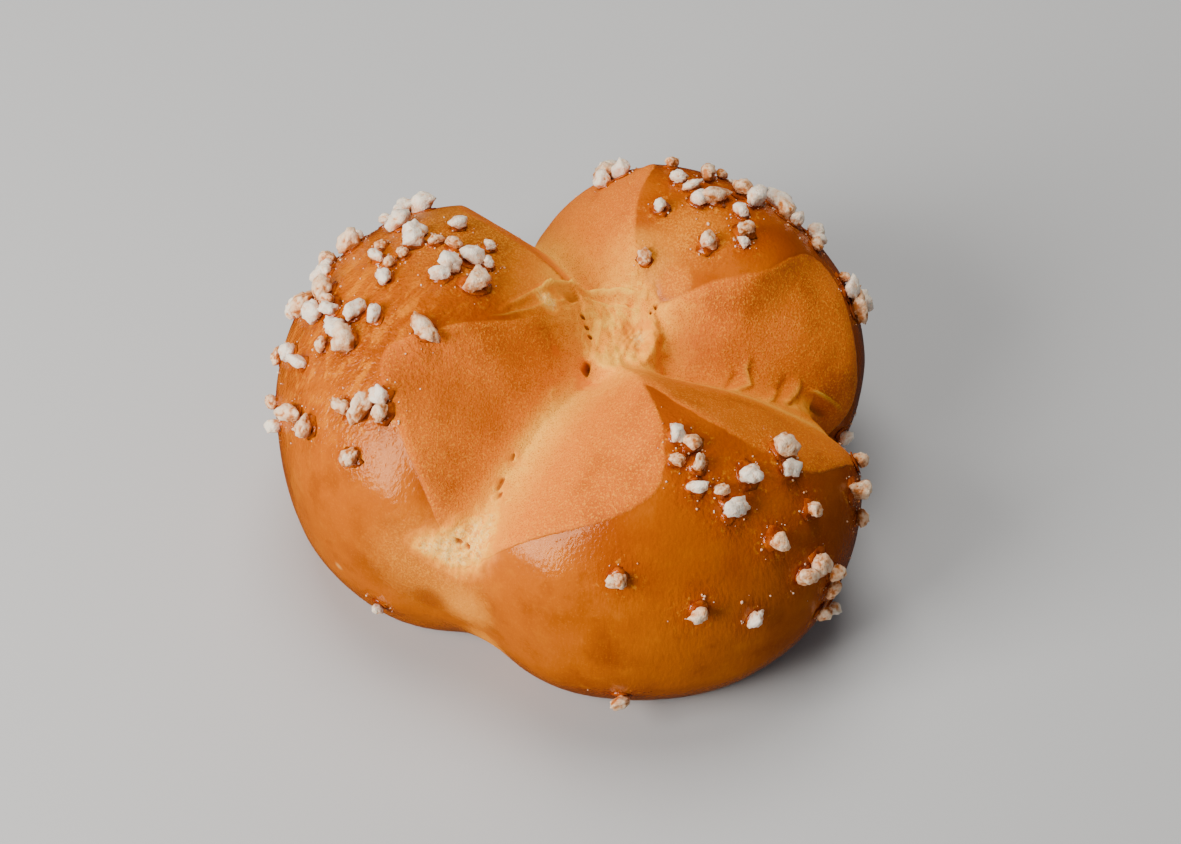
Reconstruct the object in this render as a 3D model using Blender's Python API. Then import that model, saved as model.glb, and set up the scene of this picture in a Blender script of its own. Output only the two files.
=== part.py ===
"""A brioche bun of three lobes with pearl sugar baked on, in metres, +Z up, standing on z = 0.

A ball of dough is brushed with egg, snipped three ways from near its middle and baked. The glazed
skin then stands as three domes, and the snips open into matte leaf-shaped faces that slope down to
three valleys. The valleys meet in the heart, a small hollow of torn dough. The skin is worked out
as a distance from one point inside, the core, in every direction.
"""
import math
import random

import bmesh
import bpy
import numpy as np
from mathutils import Matrix, Vector
from mathutils import noise

# The core, from which every point of the skin is seen
CORE = np.array((0.0105, 0.004, 0.018))

# The lobes are ellipsoids, flatter above their middles than below
LEFT_LOBE = dict(
    middle=(-0.0195, 0.002, 0.025), azimuth=180.0,
    out=0.0355, across=0.0412, up=0.0335, down=0.044)
BACK_LOBE = dict(
    middle=(0.0186, 0.0198, 0.0245), azimuth=64.0,
    out=0.031, across=0.039, up=0.034, down=0.038)
FRONT_LOBE = dict(
    middle=(0.0157, -0.022, 0.0245), azimuth=-73.0,
    out=0.0325, across=0.0385, up=0.0315, down=0.038)
LOBES = (LEFT_LOBE, BACK_LOBE, FRONT_LOBE)

# How widely the lobes blend: at the sides, on top, and round the end of the front left valley.
# How far a direction counts as on top follows its upward share.
SEAM_AT_SIDE = 0.004
SEAM_ON_TOP = 0.014
TOP_START = 0.3
TOP_BY = 1.5
SOFT_SEAM = 0.011
SOFT_SEAM_AZIMUTH = -121.0
SOFT_SEAM_NARROWNESS = 6

# The skin sags round the heart. Sag and cuts fade out below the core.
SAG_MIDDLE = (0.011, 0.005)
SAG_RADIUS = 0.036
SAG_DEPTH = 0.0155
SAG_POWER = 1.5
DEPTH_AT_CORE = 0.6
DEPTH_RISE = 6.0

# Each cut runs from start along its valley. Plus and minus are the widths of its two faces, read
# at equal steps along the valley, and plus is the side of the larger azimuth.
FRONT_LEFT_CUT = dict(
    start=(0.006, 0.0005), azimuth=-121.8, length=0.0485,
    plus=(0.005, 0.0145, 0.0245, 0.0285, 0.020, 0.0),
    minus=(0.0105, 0.011, 0.0185, 0.027, 0.018, 0.0))
RIGHT_CUT = dict(
    start=(0.015, -0.0045), azimuth=-13.0, length=0.042,
    plus=(0.013, 0.0165, 0.0205, 0.0305, 0.022, 0.0),
    minus=(0.011, 0.0165, 0.0195, 0.020, 0.017, 0.0))
BACK_LEFT_CUT = dict(
    start=(0.004, 0.013), azimuth=119.6, length=0.042,
    plus=(0.0045, 0.008, 0.012, 0.0135, 0.009, 0.0),
    minus=(0.010, 0.015, 0.0235, 0.025, 0.018, 0.0))
CUTS = (FRONT_LEFT_CUT, RIGHT_CUT, BACK_LEFT_CUT)
CUT_DEPTH = 0.013
DEPTH_ALONG = (0.35, 0.85, 1.05, 1.0, 0.7, 0.0)
LEAST_WIDTH = 0.007
VALLEY_ROUNDING = 0.0006
CUTS_BLENDING = 0.001

# The heart, an oval floor that fills the meeting of the valleys and rises a little to the back.
# Where it falls away starts at a share of its half-widths.
HEART_MIDDLE = (0.0095, 0.0045)
HEART_SIZE = (0.0075, 0.0097)
HEART_FLOOR = 0.0435
HEART_TILT = 0.12
HEART_TILT_REACH = 0.01
HEART_LEVEL_TO = 0.9
HEART_FALL = 0.012
HEART_FALL_POWER = 1.3
HEART_BLENDING = 0.003
LEAST_RISE = 0.1

BASE_ROUNDING = 0.0015
UNEVEN_HEIGHT = 0.0006
UNEVEN_WAVES = 2.6
KEPT_TRIANGLES = 0.34
FLAT_BELOW = 1e-6
SHARP_ANGLE = 40.0

# Pearl sugar. The gap between grains is in degrees seen from the core.
SUGAR_SEED = 11
SPIN_SEED = 12
GRAIN_LENGTH = 0.0042
GRAIN_SIZES = (0.75, 1.3)
GRAIN_STRETCH = (0.85, 1.55)
GRAIN_SHAPE = (0.85, 0.77, 0.71)
GRAIN_ROUGHNESS = 0.16
GRAIN_LIFT = 0.28
GRAIN_GAP = 2.9
TRIES_PER_GRAIN = 30

# Each patch of sugar: azimuth, elevation and spread in degrees, number of grains and their size
LEFT_LOBE_SUGAR = (
    (144, 31, 3, 2, 1.1), (151, 33, 4, 3, 1.0), (158, 29, 3, 2, 1.0), (161, 42, 0, 1, 1.0),
    (153, 47, 0, 1, 1.25), (158, 54, 0, 1, 1.0), (164, 25, 3, 3, 1.0), (167, 37, 2, 2, 0.9),
    (167, 44, 3, 3, 0.9), (164, 50, 0, 1, 0.9), (170, 54, 2, 2, 1.0), (172, 21, 3, 2, 1.0),
    (177, 28, 3, 3, 1.0), (174, 40, 3, 2, 0.9), (178, 14, 0, 1, 0.9), (178, 52, 4, 3, 1.15),
    (-175, 11, 0, 1, 0.8), (-170, 11, 0, 1, 0.8), (-174, 23, 3, 2, 1.0), (-175, 31, 4, 3, 1.0),
    (-173, 37, 4, 3, 1.0), (-163, 19, 3, 2, 0.95), (-162, 46, 0, 1, 1.0), (-158, 27, 4, 2, 1.1),
    (-152, 33, 2, 2, 0.9), (-149, 24, 0, 1, 1.15))
BACK_LOBE_SUGAR = (
    (19, 24, 4, 5, 1.0), (32, 33, 3, 3, 1.0), (39, 39, 3, 2, 1.0), (44, 38, 0, 1, 1.1),
    (46, 45, 0, 1, 1.3), (51, 45, 0, 1, 1.0), (43, 51, 0, 1, 1.0), (32, 54, 3, 2, 0.95),
    (40, 61, 0, 1, 1.0), (64, 43, 3, 2, 1.0), (59, 54, 4, 3, 0.95), (71, 50, 0, 1, 1.0),
    (73, 59, 0, 1, 0.9), (73, 70, 0, 1, 1.0), (76, 43, 0, 1, 1.0), (93, 31, 5, 4, 1.0))
FRONT_LOBE_SUGAR = (
    (-68, 32, 0, 1, 1.05), (-62, 36, 0, 1, 1.0), (-71, 38, 3, 3, 0.85), (-74, 44, 3, 3, 0.95),
    (-54, 36, 3, 2, 0.95), (-51, 25, 0, 1, 1.1), (-61, 24, 0, 1, 1.0), (-56, 16, 3, 2, 1.05),
    (-48, 8, 3, 2, 1.1), (-78, 16, 0, 1, 1.0), (-68, 11, 0, 1, 1.0), (-92, 23, 0, 1, 0.8),
    (-91, -9, 0, 1, 0.95), (-141, -8, 0, 1, 0.8), (-33, 15, 4, 4, 1.0), (-48, -2, 4, 2, 0.9),
    (-3, -1, 0, 1, 1.0))
FAR_SIDE_SUGAR = (
    (130, 14, 8, 5, 1.0), (152, 8, 8, 5, 1.0), (56, 18, 9, 6, 1.0), (80, 14, 9, 6, 1.0),
    (-22, -2, 6, 2, 1.0))
SUGAR = LEFT_LOBE_SUGAR + BACK_LOBE_SUGAR + FRONT_LOBE_SUGAR + FAR_SIDE_SUGAR

CRUST_COLOUR = (0.56, 0.20, 0.035, 1.0)
CRUST_ROUGHNESS = 0.35
SUGAR_COLOUR = (0.86, 0.78, 0.68, 1.0)
SUGAR_ROUGHNESS = 0.6


def smooth_max(a, b, width):
    """The larger of two values, blended where they are closer than width."""
    share = np.clip(0.5 + 0.5 * (a - b) / width, 0.0, 1.0)
    return b * (1.0 - share) + a * share + width * share * (1.0 - share)


def turned(vectors, azimuth):
    """Vectors as seen from axes turned by azimuth degrees about Z."""
    angle = math.radians(azimuth)
    x, y, z = vectors[..., 0], vectors[..., 1], vectors[..., 2]
    along = x * math.cos(angle) + y * math.sin(angle)
    across = y * math.cos(angle) - x * math.sin(angle)
    return np.stack((along, across, z), axis=-1)


def ellipsoid_reach(rays, middle, size):
    """How far rays from the core go before they leave an ellipsoid round middle."""
    ray = rays / size
    origin = -middle / size
    square = (ray * ray).sum(axis=1)
    slope = (ray * origin).sum(axis=1)
    rest = (origin * origin).sum() - 1.0
    return (-slope + np.sqrt(np.maximum(slope * slope - square * rest, 0.0))) / square


def lobe_reach(directions, lobe):
    """How far the skin of one lobe lies from the core in each direction."""
    rays = turned(directions, lobe["azimuth"])
    middle = turned(np.array(lobe["middle"]) - CORE, lobe["azimuth"])
    upper = ellipsoid_reach(rays, middle, np.array((lobe["out"], lobe["across"], lobe["up"])))
    lower = ellipsoid_reach(rays, middle, np.array((lobe["out"], lobe["across"], lobe["down"])))
    return np.where(rays[:, 2] * upper > middle[2], upper, lower)


def dome_reach(directions):
    """The three lobes blended into one uneven skin, without the cuts."""
    on_top = np.clip(TOP_BY * directions[:, 2] - TOP_START, 0.0, 1.0)
    towards = np.clip(turned(directions, SOFT_SEAM_AZIMUTH)[:, 0], 0.0, 1.0)
    soft_side = towards ** SOFT_SEAM_NARROWNESS
    seam = SEAM_AT_SIDE + (SOFT_SEAM - SEAM_AT_SIDE) * soft_side
    seam += (SEAM_ON_TOP - seam) * on_top
    reach = lobe_reach(directions, LOBES[0])
    for lobe in LOBES[1:]:
        reach = smooth_max(reach, lobe_reach(directions, lobe), seam)
    uneven = np.array([noise.noise(Vector(d) * UNEVEN_WAVES) for d in directions])
    return reach + UNEVEN_HEIGHT * uneven


def along_valley(t, values):
    """A smooth curve through values at equal steps from t = 0 to t = 1."""
    steps = len(values) - 1
    padded = np.array((values[0],) + values + (2.0 * values[-1] - values[-2],))
    place = np.clip(t, 0.0, 1.0) * steps
    i = np.minimum(place.astype(int), steps - 1)
    f = place - i
    a, b, c, d = padded[i], padded[i + 1], padded[i + 2], padded[i + 3]
    return b + 0.5 * f * (c - a + f * (2 * a - 5 * b + 4 * c - d + f * (3 * (b - c) + d - a)))


def cut_depth(points, cut):
    """How far one cut's two faces lie below the skin at each point."""
    start = np.array(cut["start"] + (0.0,))
    along, across, _ = turned(points - start, cut["azimuth"]).T
    t = along / cut["length"]
    width = np.where(across > 0.0, along_valley(t, cut["plus"]), along_valley(t, cut["minus"]))
    width = np.maximum(width, LEAST_WIDTH * np.clip(4.0 * t - 2.0, 0.1, 1.0))
    off_valley = np.hypot(np.hypot(across, np.minimum(along, 0.0)), VALLEY_ROUNDING)
    depth = np.where(t > 1.0, 0.0, CUT_DEPTH * along_valley(t, DEPTH_ALONG))
    return depth * np.clip(1.0 - off_valley / width, 0.0, 1.0)


def distance_off(points, middle, size):
    """How far points lie off an upright oval, in its own half-widths."""
    return np.hypot((points[:, 0] - middle[0]) / size[0], (points[:, 1] - middle[1]) / size[1])


def dough_surface(directions):
    """The points of the baked dough in the given directions from the core."""
    reach = dome_reach(directions)
    points = CORE + directions * reach[:, None]
    depth = np.zeros(len(directions))
    for cut in CUTS:
        depth = smooth_max(depth, cut_depth(points, cut), CUTS_BLENDING)
    off_sag = distance_off(points, SAG_MIDDLE, (SAG_RADIUS, SAG_RADIUS))
    depth += SAG_DEPTH * np.clip(1.0 - off_sag, 0.0, 1.0) ** SAG_POWER
    reach -= depth * np.clip(DEPTH_AT_CORE + DEPTH_RISE * directions[:, 2], 0.0, 1.0)
    rise = np.maximum(directions[:, 2], LEAST_RISE)
    to_floor = np.where(directions[:, 2] > LEAST_RISE, (HEART_FLOOR - CORE[2]) / rise, 0.0)
    on_floor = CORE + directions * to_floor[:, None]
    off_heart = distance_off(on_floor, HEART_MIDDLE, HEART_SIZE)
    fall = HEART_FALL * np.clip(off_heart - HEART_LEVEL_TO, 0.0, 3.0) ** HEART_FALL_POWER
    off_middle = on_floor[:, 1] - HEART_MIDDLE[1]
    fall -= HEART_TILT * np.clip(off_middle, -HEART_TILT_REACH, HEART_TILT_REACH)
    reach = smooth_max(reach, to_floor - fall / rise, HEART_BLENDING)
    points = CORE + directions * reach[:, None]
    points[:, 2] = smooth_max(points[:, 2], np.zeros(len(points)), BASE_ROUNDING)
    return points


def direction(azimuth, elevation):
    """A unit vector from its azimuth and elevation in degrees."""
    a, e = math.radians(azimuth), math.radians(elevation)
    return np.array((math.cos(a) * math.cos(e), math.sin(a) * math.cos(e), math.sin(e)))


def surface_frames(angles):
    """For each azimuth and elevation, the point on the dough and the way out of it."""
    step = 0.7
    here = dough_surface(np.array([direction(a, e) for a, e in angles]))
    east = dough_surface(np.array([direction(a + step, e) for a, e in angles]))
    north = dough_surface(np.array([direction(a, e + step) for a, e in angles]))
    out = np.cross(east - here, north - here)
    return here, out / np.linalg.norm(out, axis=1)[:, None]


def sugar_places(draw):
    """Azimuth, elevation, size and stretch of every grain, kept from lying inside one another."""
    places = []
    for azimuth, elevation, spread, count, size in SUGAR:
        narrowing = math.cos(math.radians(elevation))
        for _ in range(count):
            for _ in range(TRIES_PER_GRAIN):
                a = azimuth + spread * draw.uniform(-1.0, 1.0) / narrowing
                e = elevation + spread * draw.uniform(-1.0, 1.0)
                gaps = [math.hypot((a - other[0]) * narrowing, e - other[1]) for other in places]
                if min(gaps, default=GRAIN_GAP) >= GRAIN_GAP:
                    break
            places.append((a, e, size * draw.uniform(*GRAIN_SIZES), draw.uniform(*GRAIN_STRETCH)))
    return places


def make_material(name, colour, roughness):
    """A plain painted finish."""
    material = bpy.data.materials.new(name)
    material.use_nodes = True
    shader = material.node_tree.nodes["Principled BSDF"]
    shader.inputs["Base Color"].default_value = colour
    shader.inputs["Roughness"].default_value = roughness
    return material


def make_dough():
    """The bun without its sugar, with the flat underside as one face."""
    bm = bmesh.new()
    bmesh.ops.create_icosphere(bm, subdivisions=6, radius=1.0)
    directions = np.array([v.co.normalized()[:] for v in bm.verts])
    for vert, point in zip(bm.verts, dough_surface(directions)):
        vert.co = point
    underside = [f for f in bm.faces if max(v.co.z for v in f.verts) < FLAT_BELOW]
    bmesh.ops.dissolve_faces(bm, faces=underside, use_verts=True)
    mesh = bpy.data.meshes.new("brioche")
    bm.to_mesh(mesh)
    bm.free()
    mesh.materials.append(make_material("crust", CRUST_COLOUR, CRUST_ROUGHNESS))
    dough = bpy.data.objects.new("brioche", mesh)
    bpy.context.scene.collection.objects.link(dough)
    fewer = dough.modifiers.new("fewer triangles", "DECIMATE")
    fewer.ratio = KEPT_TRIANGLES
    return dough


def make_grain(name, place, out, size, stretch, spin, draw):
    """One angular lump of pearl sugar, sunk a little into the skin."""
    bm = bmesh.new()
    bmesh.ops.create_icosphere(bm, subdivisions=1, radius=0.5)
    for vert in bm.verts:
        vert.co *= 1.0 + GRAIN_ROUGHNESS * draw.uniform(-1.0, 1.0)
    length = GRAIN_LENGTH * size
    sides = [length * share for share in GRAIN_SHAPE] + [1.0]
    sides[0] *= stretch
    turn = Vector(out).to_track_quat("Z", "Y").to_matrix().to_4x4()
    spin = Matrix.Rotation(spin, 4, "Z")
    middle = Vector(place) + Vector(out) * GRAIN_LIFT * length
    bm.transform(Matrix.Translation(middle) @ turn @ spin @ Matrix.Diagonal(sides))
    mesh = bpy.data.meshes.new(name)
    bm.to_mesh(mesh)
    bm.free()
    return bpy.data.objects.new(name, mesh)


def make_sugar():
    """A collection of all the grains."""
    draw = random.Random(SUGAR_SEED)
    collection = bpy.data.collections.new("sugar")
    bpy.context.scene.collection.children.link(collection)
    material = make_material("pearl sugar", SUGAR_COLOUR, SUGAR_ROUGHNESS)
    places = sugar_places(draw)
    spins = random.Random(SPIN_SEED)
    points, outs = surface_frames([place[:2] for place in places])
    for index, (point, out, place) in enumerate(zip(points, outs, places)):
        spin = spins.uniform(0.0, math.tau)
        grain = make_grain("grain.%03d" % index, point, out, place[2], place[3], spin, draw)
        grain.data.materials.append(material)
        collection.objects.link(grain)
    return collection


def fuse(dough, collection):
    """Joins the grains to the dough as one solid and removes the loose ones."""
    union = dough.modifiers.new("sugar baked on", "BOOLEAN")
    union.operation = "UNION"
    union.operand_type = "COLLECTION"
    union.collection = collection
    depsgraph = bpy.context.evaluated_depsgraph_get()
    joined = bpy.data.meshes.new_from_object(dough.evaluated_get(depsgraph))
    dough.modifiers.clear()
    dough.data = joined
    for grain in list(collection.objects):
        bpy.data.objects.remove(grain)
    bpy.data.collections.remove(collection)


def keep_largest_body(mesh):
    """Drops loose scraps and the walls of sealed hollows."""
    bm = bmesh.new()
    bm.from_mesh(mesh)
    left = set(bm.verts)
    bodies = []
    while left:
        body = set()
        waiting = [left.pop()]
        while waiting:
            vert = waiting.pop()
            body.add(vert)
            near = [edge.other_vert(vert) for edge in vert.link_edges]
            waiting += [other for other in near if other in left]
            left.difference_update(near)
        bodies.append(body)
    bodies.sort(key=len)
    for body in bodies[:-1]:
        bmesh.ops.delete(bm, geom=list(body), context="VERTS")
    bm.to_mesh(mesh)
    bm.free()


for leftover in list(bpy.data.objects):
    bpy.data.objects.remove(leftover)
bun = make_dough()
fuse(bun, make_sugar())
keep_largest_body(bun.data)
bun.data.shade_smooth()
bun.data.set_sharp_from_angle(angle=math.radians(SHARP_ANGLE))
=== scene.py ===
"""The looks of a three-lobed brioche bun with pearl sugar, in metres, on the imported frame.

The sections follow the bun as a baker makes it: the dough is shaped, washed with egg and snipped, it
opens and tears in the oven, and the sugar on it bakes fast in drops of its own syrup. The floor, the
lights and the camera come last.
"""
import math
import random

import bmesh
import bpy
import numpy as np
from mathutils import Matrix, Vector
from mathutils import kdtree, noise


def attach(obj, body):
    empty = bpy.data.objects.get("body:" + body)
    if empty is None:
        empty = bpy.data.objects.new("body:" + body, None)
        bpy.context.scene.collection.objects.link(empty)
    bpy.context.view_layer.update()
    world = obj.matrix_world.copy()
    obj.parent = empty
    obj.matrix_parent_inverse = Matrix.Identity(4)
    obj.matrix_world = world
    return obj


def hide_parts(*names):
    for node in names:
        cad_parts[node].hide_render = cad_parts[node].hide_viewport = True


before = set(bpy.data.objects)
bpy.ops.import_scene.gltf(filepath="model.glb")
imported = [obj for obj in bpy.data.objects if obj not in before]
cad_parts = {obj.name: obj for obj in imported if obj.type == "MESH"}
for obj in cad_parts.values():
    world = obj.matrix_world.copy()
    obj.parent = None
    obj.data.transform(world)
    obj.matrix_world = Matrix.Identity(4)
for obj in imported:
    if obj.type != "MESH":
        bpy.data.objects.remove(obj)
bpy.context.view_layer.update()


# The shape of the dough. One ball of rich dough is snipped three ways from near its middle before
# it bakes, and it rises into three lobes. Every point of its skin is a distance from one point
# inside, the core, and the bun stands flat on z = 0.

CORE = np.array((0.0105, 0.004, 0.018))

# The lobes are ellipsoids, flatter above their middles than below
LEFT_LOBE = dict(
    middle=(-0.0195, 0.002, 0.025), azimuth=180.0,
    out=0.0355, across=0.0412, up=0.0335, down=0.044)
BACK_LOBE = dict(
    middle=(0.0186, 0.0198, 0.0245), azimuth=64.0,
    out=0.031, across=0.039, up=0.034, down=0.038)
FRONT_LOBE = dict(
    middle=(0.0157, -0.022, 0.0245), azimuth=-73.0,
    out=0.0325, across=0.0385, up=0.0315, down=0.038)
LOBES = (LEFT_LOBE, BACK_LOBE, FRONT_LOBE)

# How widely the lobes blend: at the sides, on top, and round the end of the front left valley.
# How far a direction counts as on top follows its upward share.
SEAM_AT_SIDE = 0.004
SEAM_ON_TOP = 0.014
TOP_START = 0.3
TOP_BY = 1.5
SOFT_SEAM = 0.011
SOFT_SEAM_AZIMUTH = -121.0
SOFT_SEAM_NARROWNESS = 6

# The skin sags round the heart. Sag and cuts fade out below the core.
SAG_MIDDLE = (0.011, 0.005)
SAG_RADIUS = 0.036
SAG_DEPTH = 0.0155
SAG_POWER = 1.5
DEPTH_AT_CORE = 0.6
DEPTH_RISE = 6.0

# Each cut runs from start along its valley. Plus and minus are the widths of its two faces, read
# at equal steps along the valley, and plus is the side of the larger azimuth.
FRONT_LEFT_CUT = dict(
    start=(0.006, 0.0005), azimuth=-121.8, length=0.0485,
    plus=(0.005, 0.0145, 0.0245, 0.0285, 0.020, 0.0),
    minus=(0.0105, 0.011, 0.0185, 0.027, 0.018, 0.0))
RIGHT_CUT = dict(
    start=(0.015, -0.0045), azimuth=-13.0, length=0.042,
    plus=(0.013, 0.0165, 0.0205, 0.0305, 0.022, 0.0),
    minus=(0.011, 0.0165, 0.0195, 0.020, 0.017, 0.0))
BACK_LEFT_CUT = dict(
    start=(0.004, 0.013), azimuth=119.6, length=0.042,
    plus=(0.0045, 0.008, 0.012, 0.0135, 0.009, 0.0),
    minus=(0.010, 0.015, 0.0235, 0.025, 0.018, 0.0))
CUTS = (FRONT_LEFT_CUT, RIGHT_CUT, BACK_LEFT_CUT)
CUT_DEPTH = 0.013
DEPTH_ALONG = (0.35, 0.85, 1.05, 1.0, 0.7, 0.0)
LEAST_WIDTH = 0.007
VALLEY_ROUNDING = 0.0006
CUTS_BLENDING = 0.001

# The heart, an oval floor that fills the meeting of the valleys and rises a little to the back.
# Where it falls away starts at a share of its half-widths.
HEART_MIDDLE = (0.0095, 0.0045)
HEART_SIZE = (0.0075, 0.0097)
HEART_FLOOR = 0.0435
HEART_TILT = 0.12
HEART_TILT_REACH = 0.01
HEART_LEVEL_TO = 0.9
HEART_FALL = 0.012
HEART_FALL_POWER = 1.3
HEART_BLENDING = 0.003
LEAST_RISE = 0.1

BASE_ROUNDING = 0.0015
UNEVEN_HEIGHT = 0.0006
UNEVEN_WAVES = 2.6


def smooth_max(a, b, width):
    """The larger of two values, blended where they are closer than width."""
    share = np.clip(0.5 + 0.5 * (a - b) / width, 0.0, 1.0)
    return b * (1.0 - share) + a * share + width * share * (1.0 - share)


def turned(vectors, azimuth):
    """Vectors as seen from axes turned by azimuth degrees about Z."""
    angle = math.radians(azimuth)
    x, y, z = vectors[..., 0], vectors[..., 1], vectors[..., 2]
    along = x * math.cos(angle) + y * math.sin(angle)
    across = y * math.cos(angle) - x * math.sin(angle)
    return np.stack((along, across, z), axis=-1)


def ellipsoid_reach(rays, middle, size):
    """How far rays from the core go before they leave an ellipsoid round middle."""
    ray = rays / size
    origin = -middle / size
    square = (ray * ray).sum(axis=1)
    slope = (ray * origin).sum(axis=1)
    rest = (origin * origin).sum() - 1.0
    return (-slope + np.sqrt(np.maximum(slope * slope - square * rest, 0.0))) / square


def lobe_reach(directions, lobe):
    """How far the skin of one lobe lies from the core in each direction."""
    rays = turned(directions, lobe["azimuth"])
    middle = turned(np.array(lobe["middle"]) - CORE, lobe["azimuth"])
    upper = ellipsoid_reach(rays, middle, np.array((lobe["out"], lobe["across"], lobe["up"])))
    lower = ellipsoid_reach(rays, middle, np.array((lobe["out"], lobe["across"], lobe["down"])))
    return np.where(rays[:, 2] * upper > middle[2], upper, lower)


def waves(points, per_metre, shift=0.0):
    """Smooth random heights between -1 and 1, as many waves a metre as asked."""
    move = Vector((shift, shift * 1.7, -shift))
    return np.array([noise.noise(Vector(p) + move) for p in points * per_metre])


def dome_reach(directions):
    """The three lobes blended into one uneven skin, without the cuts."""
    on_top = np.clip(TOP_BY * directions[:, 2] - TOP_START, 0.0, 1.0)
    towards = np.clip(turned(directions, SOFT_SEAM_AZIMUTH)[:, 0], 0.0, 1.0)
    soft_side = towards ** SOFT_SEAM_NARROWNESS
    seam = SEAM_AT_SIDE + (SOFT_SEAM - SEAM_AT_SIDE) * soft_side
    seam += (SEAM_ON_TOP - seam) * on_top
    reach = lobe_reach(directions, LOBES[0])
    for lobe in LOBES[1:]:
        reach = smooth_max(reach, lobe_reach(directions, lobe), seam)
    return reach + UNEVEN_HEIGHT * waves(directions, UNEVEN_WAVES)


def along_valley(t, values):
    """A smooth curve through values at equal steps from t = 0 to t = 1."""
    steps = len(values) - 1
    padded = np.array((values[0],) + values + (2.0 * values[-1] - values[-2],))
    place = np.clip(t, 0.0, 1.0) * steps
    i = np.minimum(place.astype(int), steps - 1)
    f = place - i
    a, b, c, d = padded[i], padded[i + 1], padded[i + 2], padded[i + 3]
    return b + 0.5 * f * (c - a + f * (2 * a - 5 * b + 4 * c - d + f * (3 * (b - c) + d - a)))


def place_in_cut(points, cut):
    """Along and across one valley, the share of its length passed, and its width on this side."""
    start = np.array(cut["start"] + (0.0,))
    along, across, _ = turned(points - start, cut["azimuth"]).T
    t = along / cut["length"]
    width = np.where(across > 0.0, along_valley(t, cut["plus"]), along_valley(t, cut["minus"]))
    return along, across, t, width


def cut_depth(points, cut):
    """How far one cut's two faces lie below the skin at each point."""
    along, across, t, width = place_in_cut(points, cut)
    width = np.maximum(width, LEAST_WIDTH * np.clip(4.0 * t - 2.0, 0.1, 1.0))
    off_valley = np.hypot(np.hypot(across, np.minimum(along, 0.0)), VALLEY_ROUNDING)
    depth = np.where(t > 1.0, 0.0, CUT_DEPTH * along_valley(t, DEPTH_ALONG))
    return depth * np.clip(1.0 - off_valley / width, 0.0, 1.0)


def distance_off(points, middle, size):
    """How far points lie off an upright oval, in its own half-widths."""
    return np.hypot((points[:, 0] - middle[0]) / size[0], (points[:, 1] - middle[1]) / size[1])


def dough_surface(directions, relief=0.0):
    """The points of the baked dough in the given directions from the core."""
    reach = dome_reach(directions)
    points = CORE + directions * reach[:, None]
    depth = np.zeros(len(directions))
    for cut in CUTS:
        depth = smooth_max(depth, cut_depth(points, cut), CUTS_BLENDING)
    off_sag = distance_off(points, SAG_MIDDLE, (SAG_RADIUS, SAG_RADIUS))
    depth += SAG_DEPTH * np.clip(1.0 - off_sag, 0.0, 1.0) ** SAG_POWER
    reach -= depth * np.clip(DEPTH_AT_CORE + DEPTH_RISE * directions[:, 2], 0.0, 1.0)
    rise = np.maximum(directions[:, 2], LEAST_RISE)
    to_floor = np.where(directions[:, 2] > LEAST_RISE, (HEART_FLOOR - CORE[2]) / rise, 0.0)
    on_floor = CORE + directions * to_floor[:, None]
    off_heart = distance_off(on_floor, HEART_MIDDLE, HEART_SIZE)
    fall = HEART_FALL * np.clip(off_heart - HEART_LEVEL_TO, 0.0, 3.0) ** HEART_FALL_POWER
    off_middle = on_floor[:, 1] - HEART_MIDDLE[1]
    fall -= HEART_TILT * np.clip(off_middle, -HEART_TILT_REACH, HEART_TILT_REACH)
    reach = smooth_max(reach, to_floor - fall / rise, HEART_BLENDING) + relief
    points = CORE + directions * reach[:, None]
    points[:, 2] = smooth_max(points[:, 2], np.zeros(len(points)), BASE_ROUNDING)
    return points


# The skin, the snipped faces and the torn heart. The skin that was washed with egg is smooth and
# shiny, the faces that opened in the oven are dull and finely grained, and at the valleys between
# them the crumb is torn into pale threads.

# Where the snipped faces end, at the foot of the bun and at their edges, and where the heart ends
LOWEST_FACE = 0.017
FACE_END = 0.012
FOOT_STEEPNESS = 1.5
FACE_EDGE_MM = 1.5
HEART_EDGE = (0.0078, 0.0098)
HEART_HALF_WIDTH_MM = 8.0
HEART_ABOVE = 0.03
NO_HEART = 9.0

# How much faster the pale crumb at a valley fades on its two sides, one pair for each cut, how low it
# reaches, and how far the distances to a face and to a valley are told
FADING = ((1.0, 3.2), (2.4, 2.8), (3.2, 1.3))
PALE_VALLEY_ABOVE = 0.030
LEAST_INSIDE_MM = -20.0
MOST_OFF_VALLEY_MM = 40.0

# The low relief, its heights in metres and how many waves it has a metre: lumps on the skin and on
# the faces, torn threads along the valleys and in torn places, and strings across the heart
SKIN_LUMPS = 0.00012
SKIN_WAVES = 140.0
FACE_LUMPS = 0.00025
FACE_WAVES = 190.0
THREAD_HEIGHT = 0.0006
THREAD_WAVES = (350.0, 1500.0, 300.0)
THREAD_BAND = 0.0030
THREADS_BY_VALLEY = 0.4
TORN_LUMPS_SHARE = 0.7
TORN_WAVES = 900.0
HEART_STRINGS = 0.0009
STRING_WAVES = 420.0
STRINGS_RUN = (1.0, 0.4, 1.0)
STRINGS_FROM = 1.4
STRINGS_MOST = 0.7
FINE_STRINGS_SHARE = 0.6
FINE_STRING_WAVES = 750.0

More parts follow.
